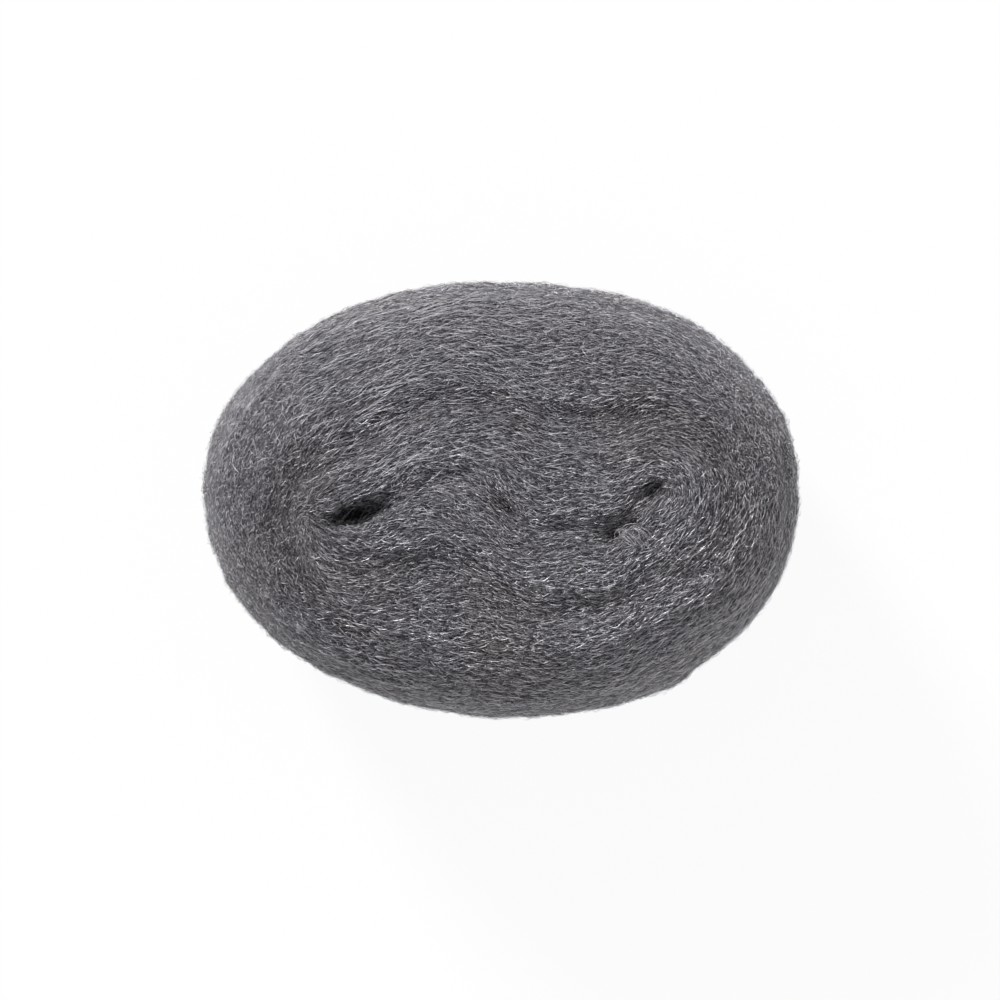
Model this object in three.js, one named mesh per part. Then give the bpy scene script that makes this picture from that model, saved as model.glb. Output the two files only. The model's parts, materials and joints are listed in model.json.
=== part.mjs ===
// A roll of steel wool: one batt wound on a two-pronged fork and stood on its end.
// Millimetres, +Z up along the winding axis, origin under the middle of the base.
import * as THREE from "three";
import { ParametricGeometry } from "three/addons/geometries/ParametricGeometry.js";
import { mergeVertices } from "three/addons/utils/BufferGeometryUtils.js";

const { degToRad, lerp, smoothstep } = THREE.MathUtils;

// Overall size: length on X, width on Y, and the width of the batt on Z
const rollLength = 129.6;
const rollWidth = 94.2;
const rollHeight = 77.7;

// How full the oval is at its right and left ends, and over the rim (2 is a plain ellipse)
const rightFullness = 2.2;
const leftFullness = 2.05;
const rimFullness = 3.1;

// How much the soft side swells and sinks as it goes round
const sideSwell = 0.3;

// Locks: the soft ridges of wool that run round with the winding
const lockSpacing = 8;
const lockHeight = 1;

// How much wool the table presses flat under the roll, and how softly the flat runs out
const baseFlat = 2.2;
const baseEase = 1.4;

// First fold: it swings across the middle as an S between the two winding eyes
const leftEyeX = 35;
const rightEyeX = 31.4;
const leftSwing = 5.8;
const rightSwing = 10;
const foldTilt = 3;
const foldDrop = 2;
const foldFade = 1.3;
const foldGrooveDepth = 2.5;
const foldGrooveWidth = 9;

// Winding eyes: the holes that the two prongs leave, the left one open and the right one nearly shut
const eyeLength = 13;
const leftEyeDepth = 18;
const leftEyeWidth = 6.6;
const rightEyeDepth = 4.5;
const rightEyeWidth = 14;

// Groove between the turns: it runs round the core, fuller at its right end, then climbs out to the side
const coreThickness = 17.5;
const coreBulge = 7;
const turnGrooveDepth = 2.3;
const turnGrooveWidth = 11.5;
const turnStartAngle = degToRad(-150);
const turnLiftAngle = degToRad(182);
const turnOutAngle = degToRad(285);

// Tail: the feathered end of the batt, lying along the lower right of the side
const tailAngle = degToRad(307);
const tailReach = degToRad(75);
const tailThickness = 1.5;

// Mesh: columns round the oval, rows over one face, and rows over the rim
const columns = 72;
const faceRows = 27;
const rimRows = 28;
const faceShare = 0.84;

const halfLength = rollLength / 2;
const halfWidth = rollWidth / 2;
const halfHeight = (rollHeight + baseFlat) / 2;

// A rounded trough: 1 in its middle and 0 from its edges outward
function trough(distance, width) {
  const reach = Math.min(Math.abs(distance) / (width / 2), 1);
  return (1 - reach ** 2) ** 2;
}

// The higher of two levels, with the corner between them eased over
function softHigher(first, second, ease) {
  const near = Math.max(ease - Math.abs(first - second), 0) / ease;
  return Math.max(first, second) + (near ** 3 * ease) / 6;
}

function signedPower(value, power) {
  return Math.sign(value) * Math.abs(value) ** power;
}

// Sideways swing of the first fold at a place along the roll
function foldOffset(x) {
  const along = THREE.MathUtils.clamp(x / (x < 0 ? leftEyeX : rightEyeX), -1, 1) * Math.PI;
  const leftBend = leftSwing * (Math.sin(along) + 0.4 * Math.sin(2 * along));
  const rightBend = rightSwing * (Math.sin(along) + 0.2 * Math.sin(3 * along));
  return foldTilt * (along / Math.PI) - (along < 0 ? leftBend : rightBend) - foldDrop;
}

// Share of the way out from the fold to the outside at which the turn groove lies
function turnShare(turn) {
  const core = coreThickness + coreBulge * ((1 + Math.cos(turn)) / 2) ** 2;
  return lerp(core / halfWidth, 1, smoothstep(turn, turnLiftAngle, turnOutAngle));
}

// How far the wool dips at a share of the way out; spread is the whole way out there
function dipAt(share, angle, x, spread) {
  const across = share * halfWidth;
  const eyeX = x < 0 ? leftEyeX : rightEyeX;
  const inEye = smoothstep(Math.abs(x), eyeX - eyeLength, eyeX - eyeLength / 4);
  const eyeDepth = x < 0 ? leftEyeDepth : rightEyeDepth;
  const eyeWidth = x < 0 ? leftEyeWidth : rightEyeWidth;
  let dip = foldGrooveDepth * trough(across, foldGrooveWidth);
  dip += eyeDepth * inEye * trough(across, eyeWidth * lerp(0.6, 1, inEye));
  for (const turn of [angle, angle + 2 * Math.PI]) {
    const inside = smoothstep(turn, turnStartAngle, turnStartAngle + degToRad(40));
    const before = 1 - smoothstep(turn, turnOutAngle - degToRad(60), turnOutAngle - degToRad(10));
    const away = (share - turnShare(turn)) * spread;
    dip += turnGrooveDepth * inside * before * trough(away, turnGrooveWidth);
  }
  return dip;
}

// Extra thickness where the tail lies on the turn below it
function tailLift(angle) {
  const turn = angle < 0 ? angle + 2 * Math.PI : angle;
  const on = smoothstep(turn, tailAngle - tailReach, tailAngle - degToRad(8));
  return turn > tailAngle ? 0 : tailThickness * on;
}

// Height of the locks: each ridge winds out by one spacing a turn, wandering and fading as it goes
function lockAt(share, rise, angle) {
  const overSkin = halfHeight * (1 - rise) + halfWidth * (rise < 0 ? 2 - share : share);
  const wander = 1.3 * Math.sin(2 * angle + 1) + 0.8 * Math.sin(5 * angle + 2 * rise);
  const ridge = Math.cos((overSkin / lockSpacing) * 2 * Math.PI + angle + wander);
  const fade = 0.65 + 0.35 * Math.sin(3 * angle + overSkin / lockSpacing);
  return (lockHeight / 2) * ridge * fade * smoothstep(share, 0.05, 0.25);
}

// Slow unevenness of the side
function swellAt(angle, rise) {
  return sideSwell * (Math.sin(3 * angle + 2 * rise) + 0.6 * Math.sin(7 * angle - 3 * rise + 1));
}

// Share of the way out and share of the height for one row, from the bottom fold to the top one
function rowPlace(v) {
  const rows = 2 * faceRows + rimRows;
  const row = v * rows;
  const fromEnd = Math.min(row, rows - row);
  const side = row > rows / 2 ? 1 : -1;
  const rimStart = Math.acos(faceShare ** (rimFullness / 2));
  if (fromEnd <= faceRows) {
    const share = faceShare * (fromEnd / faceRows) ** 1.3;
    return [share, side * (1 - share ** rimFullness) ** (1 / rimFullness)];
  }
  const swing = rimStart * (1 - (fromEnd - faceRows) / (rimRows / 2)) ** 1.4;
  return [Math.cos(swing) ** (2 / rimFullness), side * Math.sin(swing) ** (2 / rimFullness)];
}

// One point on the skin of the wound roll
function skinPoint(u, v, target) {
  const angle = u < 0.5 ? u * 2 * Math.PI : (u - 1) * 2 * Math.PI;
  const [share, rise] = rowPlace(v);
  const cos = Math.cos(angle);
  const fullness = cos > 0 ? rightFullness : leftFullness;
  const eyeX = cos > 0 ? rightEyeX : leftEyeX;
  const outX = signedPower(cos, 2 / fullness);
  const outY = signedPower(Math.sin(angle), 2 / fullness);
  const reach = lerp(eyeX, halfLength, share);
  const spread = Math.hypot((halfLength - eyeX) * outX, halfWidth * outY);
  const dip = dipAt(share, angle, reach * outX, spread) - lockAt(share, rise, angle);

  // The dip leans from straight down on the face to straight in at the rim
  const lean = new THREE.Vector2(share ** (rimFullness - 1), Math.abs(rise) ** (rimFullness - 1));
  lean.normalize();
  const grow = (tailLift(angle) + swellAt(angle, rise) - dip) * lean.x * share;
  const x = reach * outX + grow * outX;
  const y = halfWidth * share * outY + grow * outY + foldOffset(reach * outX) * (1 - share) ** foldFade;
  const z = halfHeight * rise - Math.sign(rise) * dip * lean.y;
  target.set(x, y, softHigher(z, baseFlat - halfHeight, baseEase));
}

// The skin is one sheet whose first and last rows each fold together along the S
const skin = new ParametricGeometry(skinPoint, columns, 2 * faceRows + rimRows);
skin.deleteAttribute("normal");
skin.deleteAttribute("uv");
const body = mergeVertices(skin, 1e-3);
body.computeBoundingBox();
const box = body.boundingBox;
const middle = box.getCenter(new THREE.Vector3());
body.translate(-middle.x, -middle.y, -box.min.z);
body.computeVertexNormals();

const wool = new THREE.MeshStandardMaterial({
  name: "steel_wool",
  color: 0x66636a,
  roughness: 0.55,
  metalness: 0.6,
});

const steelWoolRoll = new THREE.Mesh(body, wool);
steelWoolRoll.name = "steel_wool_roll";

const part = new THREE.Group();
part.name = "wound_steel_wool";
part.add(steelWoolRoll);

export default part;
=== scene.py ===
import bpy
import json
import math
import numpy as np
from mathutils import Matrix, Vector
from mathutils.bvhtree import BVHTree

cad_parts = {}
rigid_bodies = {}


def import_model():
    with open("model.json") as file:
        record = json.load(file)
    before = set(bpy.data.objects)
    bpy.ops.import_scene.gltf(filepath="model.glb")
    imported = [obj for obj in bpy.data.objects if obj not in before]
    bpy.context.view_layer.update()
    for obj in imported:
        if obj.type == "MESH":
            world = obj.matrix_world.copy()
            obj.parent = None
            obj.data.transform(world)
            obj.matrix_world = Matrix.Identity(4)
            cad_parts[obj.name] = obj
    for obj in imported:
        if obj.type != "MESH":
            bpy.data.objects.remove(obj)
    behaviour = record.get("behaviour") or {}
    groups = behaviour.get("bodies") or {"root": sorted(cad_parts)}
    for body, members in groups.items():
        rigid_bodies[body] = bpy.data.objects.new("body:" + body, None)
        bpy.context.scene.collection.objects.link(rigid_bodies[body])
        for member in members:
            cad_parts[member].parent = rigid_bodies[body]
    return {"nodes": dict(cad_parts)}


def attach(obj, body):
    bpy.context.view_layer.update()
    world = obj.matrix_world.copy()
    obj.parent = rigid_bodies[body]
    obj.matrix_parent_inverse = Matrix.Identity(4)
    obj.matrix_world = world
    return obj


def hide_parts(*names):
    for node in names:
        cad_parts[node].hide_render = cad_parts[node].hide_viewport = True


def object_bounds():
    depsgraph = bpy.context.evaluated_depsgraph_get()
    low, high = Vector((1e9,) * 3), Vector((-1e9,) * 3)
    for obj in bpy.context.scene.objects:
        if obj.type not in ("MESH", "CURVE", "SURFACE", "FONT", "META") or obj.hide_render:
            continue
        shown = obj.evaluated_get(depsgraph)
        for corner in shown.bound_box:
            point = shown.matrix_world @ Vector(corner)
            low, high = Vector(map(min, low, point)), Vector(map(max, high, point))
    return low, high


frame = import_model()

# A wound roll of steel wool, stood on its end and seen from straight above
mm = 0.001
scene = bpy.context.scene
scene.view_settings.view_transform = "Standard"
cadLow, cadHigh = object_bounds()
rollSize = cadHigh - cadLow
print("frame loaded, roll is", [round(v / mm, 1) for v in rollSize], "mm")


# Small helpers

# Rises from 0 at the start to 1 at the end of the stretch
def fadeIn(value, start, stretch):
    return np.clip((value - start) / stretch, 0, 1)


def readThrees(items, field, kind=np.float64):
    values = np.empty(len(items) * 3, kind)
    items.foreach_get(field, values)
    return values.reshape(-1, 3)


def mathNode(nodes, links, operation, first, second, third=None):
    node = nodes.new("ShaderNodeMath")
    node.operation = operation
    for socket, value in zip(node.inputs, (first, second, third)):
        if isinstance(value, (int, float)):
            socket.default_value = value
        elif value is not None:
            links.new(value, socket)
    return node.outputs[0]


def rampNode(nodes, stops, name):
    ramp = nodes.new("ShaderNodeValToRGB")
    ramp.label = name
    while len(ramp.color_ramp.elements) < len(stops):
        ramp.color_ramp.elements.new(0.5)
    for element, (spot, colour) in zip(ramp.color_ramp.elements, stops):
        element.position = spot
        element.color = (*colour, 1)
    return ramp


# Camera, light and floor

studio = {
    "lens": 180,                    # long lens, straight down
    "sensorWidth": 36,
    "photoWidth": 217 * mm,         # what the picture spans at the widest part of the roll
    "skyColour": (1, 1, 1, 1),
    "skyLight": 0.56,
    "sunLight": 3.5,
    "sunFrom": (-0.5, 0.75, 0.5),   # low, from the upper left of the picture
    "sunSoftness": 14,
    "floorSize": 3.0,
    "floorColour": (0.93, 0.93, 0.93, 1),
    "floorRoughness": 0.9,
    "floorGlow": 0.93,              # share of plain white that the floor shows
}


def addCamera():
    lens = bpy.data.cameras.new("photo_camera")
    lens.lens = studio["lens"]
    lens.sensor_width = studio["sensorWidth"]
    camera = bpy.data.objects.new("photo_camera", lens)
    away = studio["photoWidth"] * studio["lens"] / studio["sensorWidth"]
    camera.location = (0, 0, rollSize.z / 2 + away)
    scene.collection.objects.link(camera)
    scene.camera = camera


# Soft light from all round, while the camera itself sees a plain white sky
def addSky():
    sky = bpy.data.worlds.new("soft_sky")
    sky.use_nodes = True
    nodes, links = sky.node_tree.nodes, sky.node_tree.links
    soft = nodes["Background"]
    soft.inputs["Color"].default_value = studio["skyColour"]
    soft.inputs["Strength"].default_value = studio["skyLight"]
    white = nodes.new("ShaderNodeBackground")
    white.inputs["Color"].default_value = studio["skyColour"]
    ray = nodes.new("ShaderNodeLightPath")
    either = nodes.new("ShaderNodeMixShader")
    links.new(ray.outputs["Is Camera Ray"], either.inputs["Fac"])
    links.new(soft.outputs[0], either.inputs[1])
    links.new(white.outputs[0], either.inputs[2])
    links.new(either.outputs[0], nodes["World Output"].inputs["Surface"])
    scene.world = sky


def addSun():
    sun = bpy.data.lights.new("soft_sun", "SUN")
    sun.energy = studio["sunLight"]
    sun.angle = math.radians(studio["sunSoftness"])
    sunObject = bpy.data.objects.new("soft_sun", sun)
    sunObject.rotation_euler = Vector(studio["sunFrom"]).to_track_quat("Z", "Y").to_euler()
    scene.collection.objects.link(sunObject)


# White paper that still takes the roll's shadow
def addFloor():
    bpy.ops.object.select_all(action="DESELECT")
    bpy.ops.mesh.primitive_plane_add(size=studio["floorSize"], location=(0, 0, 0))
    floor = bpy.context.object
    floor.name = "floor"
    paper = bpy.data.materials.new("white_paper")
    paper.use_nodes = True
    nodes, links = paper.node_tree.nodes, paper.node_tree.links
    shader = nodes["Principled BSDF"]
    shader.inputs["Base Color"].default_value = studio["floorColour"]
    shader.inputs["Roughness"].default_value = studio["floorRoughness"]
    glow = nodes.new("ShaderNodeEmission")
    glow.inputs["Strength"].default_value = 1.0
    path = nodes.new("ShaderNodeLightPath")
    camera, glossy = path.outputs["Is Camera Ray"], path.outputs["Is Glossy Ray"]
    seen = mathNode(nodes, links, "MAXIMUM", camera, glossy)
    seen = mathNode(nodes, links, "MULTIPLY", seen, studio["floorGlow"])
    mix = nodes.new("ShaderNodeMixShader")
    links.new(seen, mix.inputs["Fac"])
    links.new(shader.outputs[0], mix.inputs[1])
    links.new(glow.outputs[0], mix.inputs[2])
    links.new(mix.outputs[0], nodes["Material Output"].inputs["Surface"])
    floor.data.materials.append(paper)


addCamera()
addSky()
addSun()
addFloor()
print("studio ready")


# How the batt is wound: turns round a first fold that swings as an S between two eyes

winding = {
    "leftEyeX": 35 * mm,
    "rightEyeX": 31.4 * mm,
    "leftSwing": 5.8 * mm,
    "rightSwing": 10 * mm,
    "leftHook": 0.4,            # how much sharper than a plain wave each half of the S is
    "rightHook": 0.2,
    "foldTilt": 3 * mm,
    "foldDrop": 2 * mm,
    "foldFade": 1.3,
    "rightFullness": 2.2,       # 2 is a plain ellipse
    "leftFullness": 2.05,
    "rimFullness": 3.1,
    "widestShare": 1.4,         # how far out the search for a place's turn goes, and its halvings
    "halvings": 26,
    "dipsEnd": 0.7,             # share of the way out past which the top has no dips
    "mmPerDegree": 0.95,        # what a degree round the roll's section spans on its skin
    "surveyX": 72 * mm,         # the survey reaches a little past the outline
    "surveyY": 56 * mm,
    "gridStep": 0.5 * mm,
    "flowBlur": 7 * mm,         # the wool bends less sharply than the fold does
    # Combing: x, y and reach in millimetres, and how many degrees the wool is turned there
    "combing": [
        (28, 15, 12, 17),
        (42, 15, 8, 22),
        (51, 2, 9, -22),
        (10, 31, 13, 13),
        (-2, 15, 7, 30),
        (7, 18, 6, -24),
        (6, 7, 5, -8),
        (6.5, -11, 8, 22),
        (19, -15, 8, -14),
        (-2, -29, 9, 13),
        (-12, -2, 7, -22),
        (-28, -20, 6, 16),
        (-43, 13, 8, 18),
        (-46.5, -9, 7.5, -85),
        (-54, -2, 6, -15),
    ],
}


def eyeAt(x):
    return np.where(x < 0, winding["leftEyeX"], winding["rightEyeX"])


def foldLine(x):
    along = np.clip(x / eyeAt(x), -1, 1) * np.pi
    left = np.sin(along) + winding["leftHook"] * np.sin(2 * along)
    right = np.sin(along) + winding["rightHook"] * np.sin(3 * along)
    swing = np.where(along < 0, winding["leftSwing"] * left, winding["rightSwing"] * right)
    return winding["foldTilt"] * along / np.pi - swing - winding["foldDrop"]


# Share of the way out from the fold (0) to the outside of the roll (1), found by halving
def shareOut(x, y):
    eyeX = eyeAt(x)
    fullness = np.where(x > 0, winding["rightFullness"], winding["leftFullness"])
    low = np.full(x.shape, 1e-4)
    high = np.full(x.shape, winding["widestShare"])
    for _ in range(winding["halvings"]):
        mid = (low + high) / 2
        reach = eyeX + (rollSize.x / 2 - eyeX) * mid
        across = y - foldLine(x) * np.clip(1 - mid, 0, None) ** winding["foldFade"]
        outside = (np.abs(x) / reach) ** fullness
        outside += (np.abs(across) / (rollSize.y / 2 * mid)) ** fullness
        low = np.where(outside > 1, mid, low)
        high = np.where(outside > 1, high, mid)
    return (low + high) / 2


# Three passes of a plain running mean along each axis
def blurred(grid, reach):
    for axis in (0, 1):
        for _ in range(3):
            pads = [(reach + 1, reach) if k == axis else (0, 0) for k in range(grid.ndim)]
            total = np.cumsum(np.pad(grid, pads, mode="edge"), axis=axis)
            size = grid.shape[axis]
            ahead = np.take(total, np.arange(2 * reach + 1, size + 2 * reach + 1), axis=axis)
            behind = np.take(total, np.arange(0, size), axis=axis)
            grid = (ahead - behind) / (2 * reach + 1)
    return grid


def surveyWinding():
    step = winding["gridStep"]
    xs = np.arange(-winding["surveyX"], winding["surveyX"], step)
    ys = np.arange(-winding["surveyY"], winding["surveyY"], step)
    gridX, gridY = np.meshgrid(xs, ys, indexing="ij")
    share = shareOut(gridX, gridY)
    slopeX, slopeY = np.gradient(share, step)
    steep = slopeX ** 2 + slopeY ** 2 + 1e-9
    # Doubled angles, because a fibre points both ways
    double = np.stack([(slopeY ** 2 - slopeX ** 2) / steep, -2 * slopeX * slopeY / steep], -1)
    # Three passes spread about 1.7 times as far as one
    double = blurred(double, int(winding["flowBlur"] / step / 1.7))
    return {"x0": xs[0], "y0": ys[0], "step": step, "share": share, "double": double}


survey = surveyWinding()
print("winding surveyed on", survey["share"].shape, "places")


def readSurvey(field, x, y):
    grid = survey[field]
    atX = np.clip((x - survey["x0"]) / survey["step"], 0, grid.shape[0] - 1.001)
    atY = np.clip((y - survey["y0"]) / survey["step"], 0, grid.shape[1] - 1.001)
    ix, iy = atX.astype(int), atY.astype(int)
    fx, fy = atX - ix, atY - iy
    if grid.ndim == 3:
        fx, fy = fx[:, None], fy[:, None]
    near = grid[ix, iy] * (1 - fx) + grid[ix + 1, iy] * fx
    far = grid[ix, iy + 1] * (1 - fx) + grid[ix + 1, iy + 1] * fx
    return near * (1 - fy) + far * fy


# Which way the wool lies, as an angle in the picture
def flowAngle(x, y):
    double = readSurvey("double", x, y)
    angle = np.arctan2(double[:, 1], double[:, 0]) / 2
    for atX, atY, reach, turn in winding["combing"]:
        far = ((x / mm - atX) ** 2 + (y / mm - atY) ** 2) / reach ** 2
        angle += math.radians(turn) * np.exp(-far)
    return angle


# Smooth seeded noise, from -1 to 1
def softNoise(points, seed):
    table = np.random.default_rng(seed).uniform(-1, 1, 4096)
    cell = np.floor(points).astype(np.int64)
    part = points - cell
    part = part * part * (3 - 2 * part)
    total = np.zeros(len(points))
    for corner in np.ndindex(2, 2, 2):
        key = cell + np.array(corner)
        slot = (key[:, 0] * 73856093 ^ key[:, 1] * 19349663 ^ key[:, 2] * 83492791) & 4095
        total += table[slot] * np.where(np.array(corner) == 1, part, 1 - part).prod(1)
    return total


# Distance across the turns, over the top, down the side and under, in millimetres
def acrossTurns(places):
    share = readSurvey("share", places[:, 0], places[:, 1])
    rise = (places[:, 2] - rollSize.z / 2) / (rollSize.z / 2)
    return np.degrees(np.arctan2(rise, share)) * winding["mmPerDegree"]


# How far a place on the top lies below the rounded face that it would have with no dips
def depthBelow(places):
    share = np.clip(readSurvey("share", places[:, 0], places[:, 1]), 0, 1)
    fullness = winding["rimFullness"]
    face = rollSize.z / 2 * (1 + (1 - share ** fullness) ** (1 / fullness))
    onTop = (share < winding["dipsEnd"]) & (places[:, 2] > rollSize.z / 2)
    return np.where(onTop, face - places[:, 2], 0)


# Streaks that run with the winding: fine across it, long along it
def streaks(places, across, size, seed):
    width, length = size
    slow = places / (length * mm)
    return softNoise(np.stack([across / width, slow[:, 0] + slow[:, 2], slow[:, 1]], 1), seed)


# The matted body under the loose fibres

woolBody = {
    "mergeReach": 0.02 * mm,
    "voxel": 1.0 * mm,
    "softness": 0.5,
    "softening": 5,
    "turnSoftening": 10,        # more of it away from the fold and the eyes
    "turnsFrom": (0.22, 0.1),   # share of the way out where that starts, and the stretch it takes
    "topFrom": (0.75, 0.1),     # and the same up the height
    "inset": 0.8 * mm,          # room for the fibres that lie on it
    "sideInset": 0.2 * mm,      # and more of it round the side
    "lockHeight": 0.07 * mm,
    "lockSize": (3.2, 22),      # millimetres across and along a lock of wool
    "lockSeed": 3,
    "tuftHeight": 0.05 * mm,
    "tuftSize": (1.5, 9),
    "tuftSeed": 4,
    "rimLumps": 0.45 * mm,      # scallops along the outline
    "lumpSize": (2.6, 2.6, 6.0),
    "lumpFade": (1.3, 1.6),     # full on the side, none on the face
    "lumpSeed": 5,
    "floorGap": 0.15 * mm,
    "foldFill": 0.6,            # share of the fold's depth that its own wool fills between the eyes
    "foldReach": 0.1,
    "foldFrom": (-23, 8),       # where the filling starts and ends, and its fade, in millimetres
    "foldTo": (22, 5),
    # Dabs: x, y, reach along, reach across and turn, then millimetres pressed in
    # or the share of the depth that is fluffed up
    "dabs": [
        (-33.0, -3.6, 3.2, 1.5, 25, -3.5),
        (-39.0, -5.2, 3.3, 3.0, 25, 0.8),
        (-19.5, 4.2, 3.8, 2.2, 40, 0.75),
        (-12.0, 4.6, 8.0, 1.9, 18, -1.1),
        (29.0, -3.0, 7.0, 4.5, 45, 0.68),
        (33.0, 3.2, 2.4, 1.5, 35, -1.0),
        (28.4, -5.4, 2.9, 1.3, -12, -1.6),
        (23.4, -8.0, 2.2, 1.1, -35, -1.0),
        (1.5, -2.0, 4.5, 1.8, -40, -2.9),
        (14.0, -6.0, 6.0, 1.9, -4, -1.1),
        (8.0, 19.0, 7.0, 1.7, -28, -1.6),
        (25.0, 18.0, 12.0, 2.2, 5, -1.1),
        (45.7, 11.0, 7.0, 1.7, -53, -1.6),
        (37.0, -11.3, 12.0, 4.5, 31, 0.6),
    ],
}


def dabHeight(places):
    height = np.zeros(len(places))
    share = readSurvey("share", places[:, 0], places[:, 1])
    depth = np.clip(depthBelow(places) / mm - woolBody["inset"] / mm, 0, None)
    for x, y, along, across, turn, amount in woolBody["dabs"]:
        cos, sin = math.cos(math.radians(turn)), math.sin(math.radians(turn))
        dx, dy = places[:, 0] / mm - x, places[:, 1] / mm - y
        far = ((dx * cos + dy * sin) / along) ** 2 + ((dy * cos - dx * sin) / across) ** 2
        height += np.exp(-far) * (amount if amount < 0 else amount * depth)
    # The fold closes up between the eyes
    x = places[:, 0] / mm
    end, stretch = woolBody["foldTo"]
    closed = fadeIn(x, *woolBody["foldFrom"]) * fadeIn(-x, -end, stretch)
    height += woolBody["foldFill"] * closed * depth * np.exp(-(share / woolBody["foldReach"]) ** 2)
    return np.where(places[:, 2] > rollSize.z / 2, height * mm, 0)


def soften(body, name, times, group=""):
    smooth = body.modifiers.new(name, "SMOOTH")
    smooth.factor = woolBody["softness"]
    smooth.iterations = times
    smooth.vertex_group = group
    bpy.ops.object.modifier_apply(modifier=name)


# The solid, merged, evened out and rounded off
def startBody():
    bpy.ops.object.select_all(action="DESELECT")
    body = bpy.data.objects.new("wool_body", frame["nodes"]["steel_wool_roll"].data.copy())
    scene.collection.objects.link(body)
    body.select_set(True)
    bpy.context.view_layer.objects.active = body
    body.data.materials.clear()
    bpy.ops.object.mode_set(mode="EDIT")
    bpy.ops.mesh.select_all(action="SELECT")
    bpy.ops.mesh.remove_doubles(threshold=woolBody["mergeReach"])
    bpy.ops.object.mode_set(mode="OBJECT")
    even = body.modifiers.new("even_out", "REMESH")
    even.mode = "VOXEL"
    even.voxel_size = woolBody["voxel"]
    bpy.ops.object.modifier_apply(modifier="even_out")
    soften(body, "soften", woolBody["softening"])
    return body


def softenTurns(body):
    places = readThrees(body.data.vertices, "co")
    ease = fadeIn(readSurvey("share", places[:, 0], places[:, 1]), *woolBody["turnsFrom"])
    ease *= fadeIn(places[:, 2] / rollSize.z, *woolBody["topFrom"])
    easyTurns = body.vertex_groups.new(name="easy_turns")
    # Five steps of strength
    for level in np.linspace(0.2, 1, 5):
        these = np.flatnonzero(np.abs(ease - level) <= 0.1)
        easyTurns.add(these.tolist(), float(level), "REPLACE")
    soften(body, "soften_turns", woolBody["turnSoftening"], "easy_turns")


# Room for the fibres, then locks, tufts, scallops and dabs
def shapeWool(body):
    mesh = body.data
    places = readThrees(mesh.vertices, "co")
    outward = readThrees(mesh.vertex_normals, "vector", np.float32)
    upright = np.abs(outward[:, 2])
    across = acrossTurns(places)
    push = -woolBody["inset"] - woolBody["sideInset"] * (1 - upright)
    locks = streaks(places, across, woolBody["lockSize"], woolBody["lockSeed"])
    tufts = streaks(places, across, woolBody["tuftSize"], woolBody["tuftSeed"])
    lumps = softNoise(places / (np.array(woolBody["lumpSize"]) * mm), woolBody["lumpSeed"])
    full, fade = woolBody["lumpFade"]
    push += woolBody["lockHeight"] * locks
    push += woolBody["rimLumps"] * lumps * np.clip(full - fade * upright, 0, 1)
    push += woolBody["tuftHeight"] * tufts
    places = places + outward * push[:, None]
    places[:, 2] += dabHeight(places)
    places[:, 2] = np.maximum(places[:, 2], woolBody["floorGap"])
    mesh.vertices.foreach_set("co", places.astype(np.float32).ravel())
    mesh.update()
    turns = mesh.attributes.new("across_turns", "FLOAT", "POINT")
    turns.data.foreach_set("value", across.astype(np.float32))
    bpy.ops.object.shade_smooth()


body = startBody()
softenTurns(body)
shapeWool(body)
print("wool body:", len(body.data.polygons), "faces")


# The body's skin, which the fibres are laid on

def bodySurface():
    mesh = body.data
    mesh.calc_loop_triangles()
    places = readThrees(mesh.vertices, "co")
    outward = readThrees(mesh.vertex_normals, "vector")
    corners = readThrees(mesh.loop_triangles, "vertices", np.int32)
    edges = places[corners]
    spanned = np.cross(edges[:, 1] - edges[:, 0], edges[:, 2] - edges[:, 0])
    area = np.linalg.norm(spanned, axis=1) / 2
    facing = outward[corners].mean(1)
    facing /= np.linalg.norm(facing, axis=1)[:, None]
    tree = BVHTree.FromPolygons(places.tolist(), corners.tolist())
    return {"places": places, "corners": corners, "area": area, "facing": facing, "tree": tree}


surface = bodySurface()


# Roots spread evenly over the chosen faces
def pickRoots(count, weight, rng):
    chance = np.cumsum(surface["area"] * weight)
    face = np.searchsorted(chance, (np.arange(count) + rng.random(count)) / count * chance[-1])
    parts = rng.dirichlet((1, 1, 1), count)
    return (surface["places"][surface["corners"][face]] * parts[:, :, None]).sum(1)


def settle(places):
    found = np.empty_like(places)
    facing = np.empty_like(places)
    tree, normals = surface["tree"], surface["facing"]
    for i, place in enumerate(places):
        spot, _, face, _ = tree.find_nearest(place)
        found[i] = spot
        facing[i] = normals[face]
    return found, facing


# Every fibre is a thin three-sided sliver with its own spot on a palette of steel

slivers = {
    "thickness": 0.5,           # share of the width
    "roll": 0.35,               # how far one is rolled about its length, in radians
    "taper": 0.75,
    "streakTone": 0.13,         # how much brighter or darker one streak is than the next
    "streakSize": (0.55, 22),   # millimetres across and along
    "streakSeed": 31,
    "bandTone": 0.04,
    "bandSize": (2.2, 24),
    "bandSeed": 32,
    "leftShade": -0.1,           # painted shade darkens the left end and painted light brightens the lower right crown
    "leftShadeFrom": (22, 20),
    "crownLight": 0.12,
    "crownLightRight": (5, 20),
    "crownLightLow": (8, 14),
    "pitShade": 0.06,            # painted shade: how much darker each millimetre down the left eye is
    "pitShadeFrom": 3.5,
    "pitShadeDepth": 8,
    "grooveShade": 0.035,        # and the painted shade of each millimetre down the grooves between the turns
    "grooveShadeAndRustDepth": 2.2,
    "grooveWarmth": 0.08,       # a trace of rust lies in the grooves
    "warmth": 0.4,
    "warmthSpread": 0.1,
    "patchWarmth": 0.3,
    "patchSize": 14 * mm,
    "patchSeed": 11,
    "warmthLimits": (0.02, 0.9),
    "edges": (1.0, -1.0, -0.03),    # painted highlight on one edge and painted shadow on the other, and the third between
    "paletteStart": 0.02,
    "paletteSpan": 0.95,
    "ringGap": 0.06,            # the rings of a sliver stand a little apart on the palette
}


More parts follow.
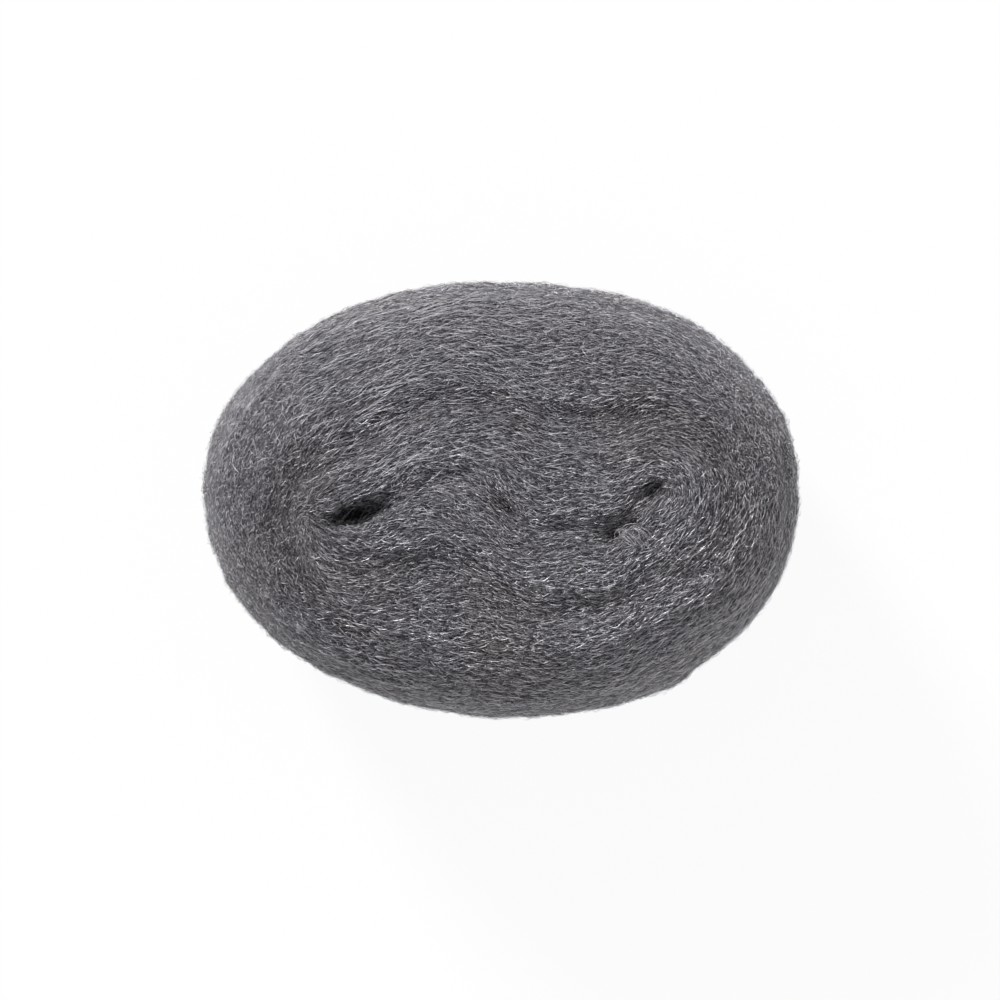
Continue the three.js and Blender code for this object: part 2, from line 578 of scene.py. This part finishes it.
# Tone across the palette and warmth up it, for every corner of every sliver
def paletteSpots(look, path, normal, rng):
    count, points = path.shape[:2]
    rings = points - 1
    middle = path[:, points // 2]
    across = acrossTurns(middle)
    x, y = middle[:, 0] / mm, middle[:, 1] / mm
    depth = depthBelow(middle) / mm
    grooveShadeAndRust = np.clip(depth - woolBody["inset"] / mm, 0, slivers["grooveShadeAndRustDepth"])
    pitShading = np.clip(depth - slivers["pitShadeFrom"], 0, slivers["pitShadeDepth"]) * (x < 0)
    patches = softNoise(middle / slivers["patchSize"], slivers["patchSeed"])
    fine = streaks(middle, across, slivers["streakSize"], slivers["streakSeed"])
    broad = streaks(middle, across, slivers["bandSize"], slivers["bandSeed"])

    tone = look["tone"] + look["spread"] * rng.normal(0, 1, count)
    tone += slivers["streakTone"] * fine
    tone += slivers["bandTone"] * broad
    # Painted light: fibres that face sideways are made brighter
    tone += look["paintedRimLight"] * (1 - np.abs(normal[:, points // 2, 2])) ** 2
    # Painted shade down the left eye
    tone -= slivers["pitShade"] * pitShading
    # Painted shade down the grooves between the turns
    tone -= slivers["grooveShade"] * grooveShadeAndRust
    # Painted shade on the left end and painted light on the lower right crown
    tone += slivers["leftShade"] * fadeIn(-x, *slivers["leftShadeFrom"])
    crownLit = slivers["crownLight"] * fadeIn(x, *slivers["crownLightRight"])
    tone += crownLit * fadeIn(-y, *slivers["crownLightLow"])
    warm = slivers["warmth"] + slivers["patchWarmth"] * patches
    warm += rng.normal(0, slivers["warmthSpread"], count)
    warm += slivers["grooveWarmth"] * grooveShadeAndRust
    warm = np.clip(warm, *slivers["warmthLimits"])

    # Painted highlight along one edge of each sliver and painted shadow along the other
    edgeLight = look["edgeLightAndShadow"] * np.where(rng.random(count) < 0.5, 1, -1)
    edge = np.concatenate([np.tile(slivers["edges"], rings), [0]])
    apart = (np.arange(rings)[:, None] + np.arange(3) / 6).ravel()
    apart = np.concatenate([apart, [rings]]) / points
    lit = np.clip(tone[:, None] + edgeLight[:, None] * edge, 0, 1)
    u = slivers["paletteStart"] + slivers["paletteSpan"] * lit
    v = warm[:, None] + slivers["ringGap"] * apart
    return u.ravel(), v.ravel()


# Each path gets a ring of three corners at every place but its tip
def sliverMesh(name, look, path, normal, rng):
    count, points = path.shape[:2]
    rings = points - 1
    width = rng.uniform(*look["width"], count) * mm
    along = np.gradient(path, axis=1)
    along /= np.linalg.norm(along, axis=2)[:, :, None] + 1e-12
    side = np.cross(along, normal)
    side /= np.linalg.norm(side, axis=2)[:, :, None] + 1e-12
    up = np.cross(side, along)
    roll = np.pi / 6 + rng.normal(0, slivers["roll"], count)
    corner = roll[:, None] + np.arange(3) * 2 * np.pi / 3
    reach = width[:, None, None] / 2 * np.linspace(1, slivers["taper"], rings)[None, :, None]
    flat = reach * np.cos(corner)[:, None, :]
    thick = reach * np.sin(corner)[:, None, :] * slivers["thickness"]
    ring = path[:, :-1, None, :] + flat[..., None] * side[:, :-1, None, :]
    ring = ring + thick[..., None] * up[:, :-1, None, :]
    each = rings * 3 + 1
    places = np.concatenate([ring.reshape(count, -1, 3), path[:, -1:]], 1).reshape(-1, 3)

    # Faces of one sliver, then the same for all
    faces = [(2, 1, 0)]
    for k in range(rings):
        for j in range(3):
            a, b = k * 3 + j, k * 3 + (j + 1) % 3
            faces.append((a, b, b + 3, a + 3) if k < rings - 1 else (a, b, each - 1))
    oneLoop = np.array([v for face in faces for v in face])
    loops = (np.arange(count)[:, None] * each + oneLoop).ravel()
    sizes = np.tile([len(face) for face in faces], count)
    starts = np.concatenate([[0], np.cumsum(sizes)[:-1]])

    mesh = bpy.data.meshes.new(name)
    mesh.vertices.add(len(places))
    mesh.vertices.foreach_set("co", places.astype(np.float32).ravel())
    mesh.loops.add(len(loops))
    mesh.loops.foreach_set("vertex_index", loops.astype(np.int32))
    mesh.polygons.add(len(sizes))
    mesh.polygons.foreach_set("loop_start", starts.astype(np.int32))
    u, v = paletteSpots(look, path, normal, rng)
    layer = mesh.uv_layers.new(name="OFBake")
    layer.uv.foreach_set("vector", np.stack([u[loops], v[loops]], 1).astype(np.float32).ravel())
    mesh.polygons.foreach_set("use_smooth", np.ones(len(sizes), bool))
    mesh.update(calc_edges=True)
    mesh.validate()
    made = bpy.data.objects.new(name, mesh)
    scene.collection.objects.link(made)
    return made


# Loose fibres that follow the turns

fibres = {
    "seed": 29,
    # Short ground fibres lie in the body, long hairs lie on them, and a fringe stands off the side.
    # The painted rim light makes the side's fibres brighter than those of the face.
    "ground": {"points": 2, "length": (0.8, 2.2), "width": (0.11, 0.17), "lift": (0.0, 0.4),
               "stray": 0.2, "tone": 0.34, "spread": 0.4, "edgeLightAndShadow": 0.3, "paintedRimLight": 0.03},
    "wisp": {"points": 3, "length": (0.9, 2.3), "width": (0.12, 0.17), "lift": (0.1, 0.5),
             "stray": 0.3, "tone": 0.62, "spread": 0.25, "edgeLightAndShadow": 0.35, "paintedRimLight": 0.57},
    "hair": {"points": 4, "length": (1.8, 4.0), "width": (0.12, 0.17), "lift": (0.15, 0.6),
             "stray": 0.08, "tone": 0.67, "spread": 0.22, "edgeLightAndShadow": 0.35, "paintedRimLight": 0.57},
    "fringe": {"points": 3, "length": (0.9, 2.4), "width": (0.12, 0.17), "lift": (0.1, 0.9),
               "stray": 0.3, "tone": 0.75, "spread": 0.2, "edgeLightAndShadow": 0.05, "paintedRimLight": 0.26},
    "combed": {"points": 4, "length": (5.0, 8.5), "width": (0.1, 0.14), "lift": (0.2, 0.6),
               "stray": 0.0, "tone": 0.72, "spread": 0.2, "edgeLightAndShadow": 0.2, "paintedRimLight": 0.26},
    "topGround": 72000,
    "sideGround": 36000,
    "baseGround": 8000,
    "topWisps": 14000,
    "sideWisps": 6000,
    "topHairs": 6000,
    "sideHairs": 4000,
    "fringeHairs": 3500,
    "topRise": 0.5,             # how steeply the skin faces up where the top ends
    "fringeRise": 0.45,
    "combedHairs": 700,         # long ones, over the upper left of the top
    "combedBefore": 12 * mm,
    "combedAbove": 6 * mm,
    "lean": 0.17,               # how far a fibre strays from the winding, in radians
    "strayLean": 0.45,          # and more of it for the share that strays
    "wildLean": 0.45,           # and more of it at the left end and the upper right
    "wildShorter": 0.5,
    "wildLeft": (36, 10),
    "wildRight": (40, 8),
    "wildUpper": (-4, 10),
    "drift": 0.15,              # how far whole tufts stray
    "driftSize": 5 * mm,
    "driftSeed": 21,
    "bend": (0.05, 0.4),        # how far a fibre curves along its length, in radians, and how often
    "waves": (0.3, 0.9),
    "arch": 0.25,               # how far its middle stands up and its ends tuck in, in millimetres
    "tuck": 0.25,
    "floorGap": 0.25 * mm,
}


# Where the wool is most tangled: the left end and the upper right
def wildness(places):
    x, y = places[:, 0] / mm, places[:, 1] / mm
    left = fadeIn(-x, *fibres["wildLeft"])
    right = fadeIn(x, *fibres["wildRight"]) * fadeIn(y, *fibres["wildUpper"])
    return np.maximum(left, right)


def growFibres(name, look, roots, rng):
    count, points = len(roots), look["points"]
    wild = wildness(roots)
    length = rng.uniform(*look["length"], count) * (1 - fibres["wildShorter"] * wild) * mm
    stray = fibres["strayLean"] * (rng.random(count) < look["stray"])
    loose = fibres["lean"] + np.maximum(stray, fibres["wildLean"] * wild)
    lean = rng.normal(0, 1, count) * loose
    lean += fibres["drift"] * softNoise(roots / fibres["driftSize"], fibres["driftSeed"])
    bend = rng.uniform(*fibres["bend"], count) + stray
    waves = rng.uniform(*fibres["waves"], count)
    phase = rng.uniform(0, 2 * np.pi, count)
    lift = rng.uniform(*look["lift"], count) * mm
    arch = rng.uniform(0, fibres["arch"], count) * mm
    tuck = rng.uniform(0, fibres["tuck"], count) * mm
    way = np.where(rng.random(count) < 0.5, 1.0, -1.0)

    path = np.empty((count, points, 3))
    normal = np.empty((count, points, 3))
    place = roots.copy()
    last = np.zeros((count, 3))
    for k in range(points):
        place, facing = settle(place)
        angle = flowAngle(place[:, 0], place[:, 1])
        flow = np.stack([np.cos(angle), np.sin(angle), np.zeros(count)], 1)
        flow -= facing * (flow * facing).sum(1)[:, None]
        flow /= np.linalg.norm(flow, axis=1)[:, None] + 1e-9
        turn = way if k == 0 else np.where((flow * last).sum(1) < 0, -1.0, 1.0)
        flow *= turn[:, None]
        last = flow
        side = np.cross(facing, flow)
        share = k / (points - 1)
        heading = lean + bend * np.sin(2 * np.pi * waves * share + phase)
        rise = lift + arch * np.sin(np.pi * share) - tuck * (2 * share - 1) ** 2
        path[:, k] = place + facing * rise[:, None]
        normal[:, k] = facing
        step = np.cos(heading)[:, None] * flow + np.sin(heading)[:, None] * side
        place = place + step * (length / (points - 1))[:, None]
    path[:, :, 2] = np.maximum(path[:, :, 2], fibres["floorGap"])
    return sliverMesh(name, look, path, normal, rng)


def growAll(rng):
    rise = surface["facing"][:, 2]
    middle = surface["places"][surface["corners"]].mean(1)
    steep = fibres["topRise"]
    top, side, base = rise > steep, np.abs(rise) <= steep, rise < -steep
    brim = np.abs(rise) < fibres["fringeRise"]
    left = middle[:, 0] < 0
    upperLeft = (middle[:, 0] < fibres["combedBefore"]) & (middle[:, 1] > fibres["combedAbove"])
    lots = [
        ("ground_fibres_left", "ground", fibres["topGround"] // 2, top & left),
        ("ground_fibres_right", "ground", fibres["topGround"] // 2, top & ~left),
        ("ground_fibres_side", "ground", fibres["sideGround"], side),
        ("ground_fibres_under", "ground", fibres["baseGround"], base),
        ("wisps_top", "wisp", fibres["topWisps"], top),
        ("wisps_side", "wisp", fibres["sideWisps"], side),
        ("hairs_top", "hair", fibres["topHairs"], top),
        ("hairs_side", "hair", fibres["sideHairs"], side),
        ("hairs_combed", "combed", fibres["combedHairs"], top & upperLeft),
        ("fringe", "fringe", fibres["fringeHairs"], brim),
    ]
    made = []
    for name, kind, count, where in lots:
        made.append(growFibres(name, fibres[kind], pickRoots(count, where, rng), rng))
    return made


# A few hairs from one lip of the left eye to the other, in millimetres

eyeStrands = {
    "count": 4,
    "points": 4,
    "alongFold": (-36, -25),
    "slant": (2.5, 5.5),
    "toUpperLip": (2.5, 3.8),
    "toLowerLip": (2.2, 3.2),
    "lift": 0.3,
    "sag": 1.6,
    "wander": 0.25,
    "width": (0.09, 0.13),
    "tone": 0.34,
    "spread": 0.15,
    "edgeLightAndShadow": 0.05,
    "paintedRimLight": 0.26,
}


def bridgeEye(name, rng):
    count, points = eyeStrands["count"], eyeStrands["points"]
    x = rng.uniform(*eyeStrands["alongFold"], count) * mm
    y = foldLine(x)
    top = np.full(count, rollSize.z)
    slant = rng.uniform(*eyeStrands["slant"], count) * mm
    above = y + rng.uniform(*eyeStrands["toUpperLip"], count) * mm
    below = y - rng.uniform(*eyeStrands["toLowerLip"], count) * mm
    upper, facing = settle(np.stack([x + slant, above, top], 1))
    lower, _ = settle(np.stack([x - slant, below, top], 1))
    share = np.linspace(0, 1, points)[None, :, None]
    path = upper[:, None, :] * (1 - share) + lower[:, None, :] * share
    sag = rng.uniform(0, eyeStrands["sag"], (count, 1)) * mm
    path[:, :, 2] += eyeStrands["lift"] * mm - sag * np.sin(np.pi * share[:, :, 0])
    path[:, 1:-1, :2] += rng.normal(0, eyeStrands["wander"] * mm, (count, points - 2, 2))
    return sliverMesh(name, eyeStrands, path, np.repeat(facing[:, None, :], points, 1), rng)


# A small tuft of curly hairs in the right eye, in millimetres and radians

eyeCurls = {
    "count": 70,
    "points": 6,
    "spot": (27.8, -8.9),
    "scatter": 1.1,
    "dropFrom": 3,              # below the top of the roll
    "start": (-0.9, 1.9),       # where on its circle a curl starts, and how far round it goes
    "sweep": (1.0, 2.6),
    "radius": (0.6, 2.3),
    "opening": 0.3,             # how much wider or tighter it ends
    "stretch": (1.2, 0.8),      # the circles are a little flat
    "lift": (0.2, 0.8),
    "arch": 0.4,
    "width": (0.11, 0.15),
    "tone": 0.6,
    "spread": 0.25,
    "edgeLightAndShadow": 0.2,
    "paintedRimLight": 0.26,
}


def curlTuft(name, rng):
    count, points = eyeCurls["count"], eyeCurls["points"]
    share = np.linspace(0, 1, points)
    middle = np.array(eyeCurls["spot"]) + rng.normal(0, eyeCurls["scatter"], (count, 2))
    start = rng.uniform(*eyeCurls["start"], (count, 1))
    angle = start + rng.uniform(*eyeCurls["sweep"], (count, 1)) * share
    radius = rng.uniform(*eyeCurls["radius"], (count, 1))
    opening = rng.uniform(-eyeCurls["opening"], eyeCurls["opening"], (count, 1))
    radius = radius * (1 + opening * share)
    wide, high = eyeCurls["stretch"]
    path = np.full((count, points, 3), rollSize.z - eyeCurls["dropFrom"] * mm)
    path[..., 0] = (middle[:, :1] + wide * radius * np.cos(angle)) * mm
    path[..., 1] = (middle[:, 1:] + high * radius * np.sin(angle)) * mm
    found, facing = settle(path.reshape(-1, 3))
    found, facing = found.reshape(path.shape), facing.reshape(path.shape)
    lift = rng.uniform(*eyeCurls["lift"], (count, 1)) * mm
    lift = lift + eyeCurls["arch"] * mm * np.sin(np.pi * share)
    return sliverMesh(name, eyeCurls, found + facing * lift[..., None], facing, rng)


rng = np.random.default_rng(fibres["seed"])
fibrePieces = growAll(rng)
fibrePieces.append(bridgeEye("eye_strands", rng))
fibrePieces.append(curlTuft("eye_curls", rng))
print("fibres:", [(o.name, len(o.data.polygons)) for o in fibrePieces])


# Finish of the fibres: bright steel, toned and warmed by the palette

fibreSteel = {
    "tones": [
        (0.0, (0.05, 0.046, 0.053)),
        (0.3, (0.16, 0.15, 0.166)),
        (0.5, (0.34, 0.324, 0.352)),
        (0.75, (0.72, 0.7, 0.74)),
        (1.0, (0.97, 0.95, 0.99)),
    ],
    "warmth": [(0.0, (0.97, 1.0, 1.03)), (0.5, (1.0, 1.0, 1.0)), (1.0, (1.06, 1.0, 0.93))],
    "metal": 0.75,
    "roughness": (0.55, 0.42),      # of the darkest and the brightest
}


def makeFibreSteel():
    steel = bpy.data.materials.new("fibre_steel")
    steel.use_nodes = True
    nodes, links = steel.node_tree.nodes, steel.node_tree.links
    shader = nodes["Principled BSDF"]
    spot = nodes.new("ShaderNodeUVMap")
    spot.uv_map = "OFBake"
    split = nodes.new("ShaderNodeSeparateXYZ")
    tones = rampNode(nodes, fibreSteel["tones"], "tones")
    warmth = rampNode(nodes, fibreSteel["warmth"], "warmth")
    tint = nodes.new("ShaderNodeMix")
    tint.data_type = "RGBA"
    tint.blend_type = "MULTIPLY"
    tint.inputs["Factor"].default_value = 1.0
    rough = nodes.new("ShaderNodeMapRange")
    darkest, brightest = fibreSteel["roughness"]
    rough.inputs["To Min"].default_value = darkest
    rough.inputs["To Max"].default_value = brightest
    links.new(spot.outputs["UV"], split.inputs[0])
    links.new(split.outputs["X"], tones.inputs["Fac"])
    links.new(split.outputs["Y"], warmth.inputs["Fac"])
    links.new(tones.outputs["Color"], tint.inputs["A"])
    links.new(warmth.outputs["Color"], tint.inputs["B"])
    links.new(tint.outputs["Result"], shader.inputs["Base Color"])
    links.new(split.outputs["X"], rough.inputs["Value"])
    links.new(rough.outputs["Result"], shader.inputs["Roughness"])
    shader.inputs["Metallic"].default_value = fibreSteel["metal"]
    return steel


# Finish of the body: thin strands drawn over dark wool, whose near-black ground is painted shade of
# the deeper fibres

mattedWool = {
    # The darkest tones are painted shade between the drawn strands
    "tones": [
        (0.0, (0.035, 0.032, 0.037)),
        (0.3, (0.1, 0.095, 0.105)),
        (1.0, (0.6, 0.58, 0.62)),
    ],
    "strandSpacing": 0.6,       # millimetres between the drawn strands of one layer
    "strandLength": 4,
    "thinness": 32.0,
    # Each layer's shift, curl scale and curl in millimetres
    "layers": [(0.0, 150, 2.8), (3.7, 210, 2.2), (7.9, 290, 1.6), (11.3, 180, 2.6)],
    "metal": 0.5,
    "roughness": 0.5,
    "bump": 0.5,
    "bumpHeight": 0.2 * mm,
}


# One layer of thin drawn strands that wander about the winding
def strandLayer(nodes, links, place, across, shift, curlScale, curlReach):
    moved = nodes.new("ShaderNodeVectorMath")
    moved.operation = "ADD"
    moved.inputs[1].default_value = (shift, shift, shift)
    links.new(place, moved.inputs[0])
    curl = nodes.new("ShaderNodeTexNoise")
    curl.inputs["Scale"].default_value = curlScale
    curl.inputs["Detail"].default_value = 1
    links.new(moved.outputs["Vector"], curl.inputs["Vector"])
    bent = mathNode(nodes, links, "MULTIPLY_ADD", curl.outputs["Fac"], curlReach, across)
    parts = nodes.new("ShaderNodeSeparateXYZ")
    links.new(moved.outputs["Vector"], parts.inputs[0])
    fast = 1 / mattedWool["strandSpacing"]
    slow = 1 / (mattedWool["strandLength"] * mm)
    flat = mathNode(nodes, links, "ADD", parts.outputs["X"], parts.outputs["Z"])
    build = nodes.new("ShaderNodeCombineXYZ")
    links.new(mathNode(nodes, links, "MULTIPLY", bent, fast), build.inputs["X"])
    links.new(mathNode(nodes, links, "MULTIPLY", flat, slow), build.inputs["Y"])
    links.new(mathNode(nodes, links, "MULTIPLY", parts.outputs["Y"], slow), build.inputs["Z"])
    strands = nodes.new("ShaderNodeTexNoise")
    strands.inputs["Scale"].default_value = 1
    strands.inputs["Detail"].default_value = 1
    links.new(build.outputs[0], strands.inputs["Vector"])
    # A strand lies wherever the noise passes its middle
    off = mathNode(nodes, links, "SUBTRACT", strands.outputs["Fac"], 0.5)
    off = mathNode(nodes, links, "ABSOLUTE", off, 0)
    line = mathNode(nodes, links, "MULTIPLY_ADD", off, -2 * mattedWool["thinness"], 1.0)
    return mathNode(nodes, links, "MAXIMUM", line, 0.0)


def makeMattedWool():
    wool = bpy.data.materials.new("matted_wool")
    wool.use_nodes = True
    nodes, links = wool.node_tree.nodes, wool.node_tree.links
    shader = nodes["Principled BSDF"]
    place = nodes.new("ShaderNodeTexCoord").outputs["Object"]
    across = nodes.new("ShaderNodeAttribute")
    across.attribute_name = "across_turns"
    height = None
    for layer in mattedWool["layers"]:
        drawn = strandLayer(nodes, links, place, across.outputs["Fac"], *layer)
        height = drawn if height is None else mathNode(nodes, links, "MAXIMUM", height, drawn)
    tones = rampNode(nodes, mattedWool["tones"], "strands over painted shade")
    bump = nodes.new("ShaderNodeBump")
    bump.inputs["Strength"].default_value = mattedWool["bump"]
    bump.inputs["Distance"].default_value = mattedWool["bumpHeight"]
    links.new(height, tones.inputs["Fac"])
    links.new(tones.outputs["Color"], shader.inputs["Base Color"])
    links.new(height, bump.inputs["Height"])
    links.new(bump.outputs["Normal"], shader.inputs["Normal"])
    shader.inputs["Metallic"].default_value = mattedWool["metal"]
    shader.inputs["Roughness"].default_value = mattedWool["roughness"]
    return wool


body.data.materials.append(makeMattedWool())
steel = makeFibreSteel()
for piece in fibrePieces:
    piece.data.materials.append(steel)
print("finishes ready")


# Hand the pieces to the frame

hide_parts("steel_wool_roll")
for piece in [body, *fibrePieces]:
    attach(piece, "root")

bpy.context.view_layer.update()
triangles = sum(len(p.vertices) - 2 for o in [body, *fibrePieces] for p in o.data.polygons)
print("triangles in all:", triangles)
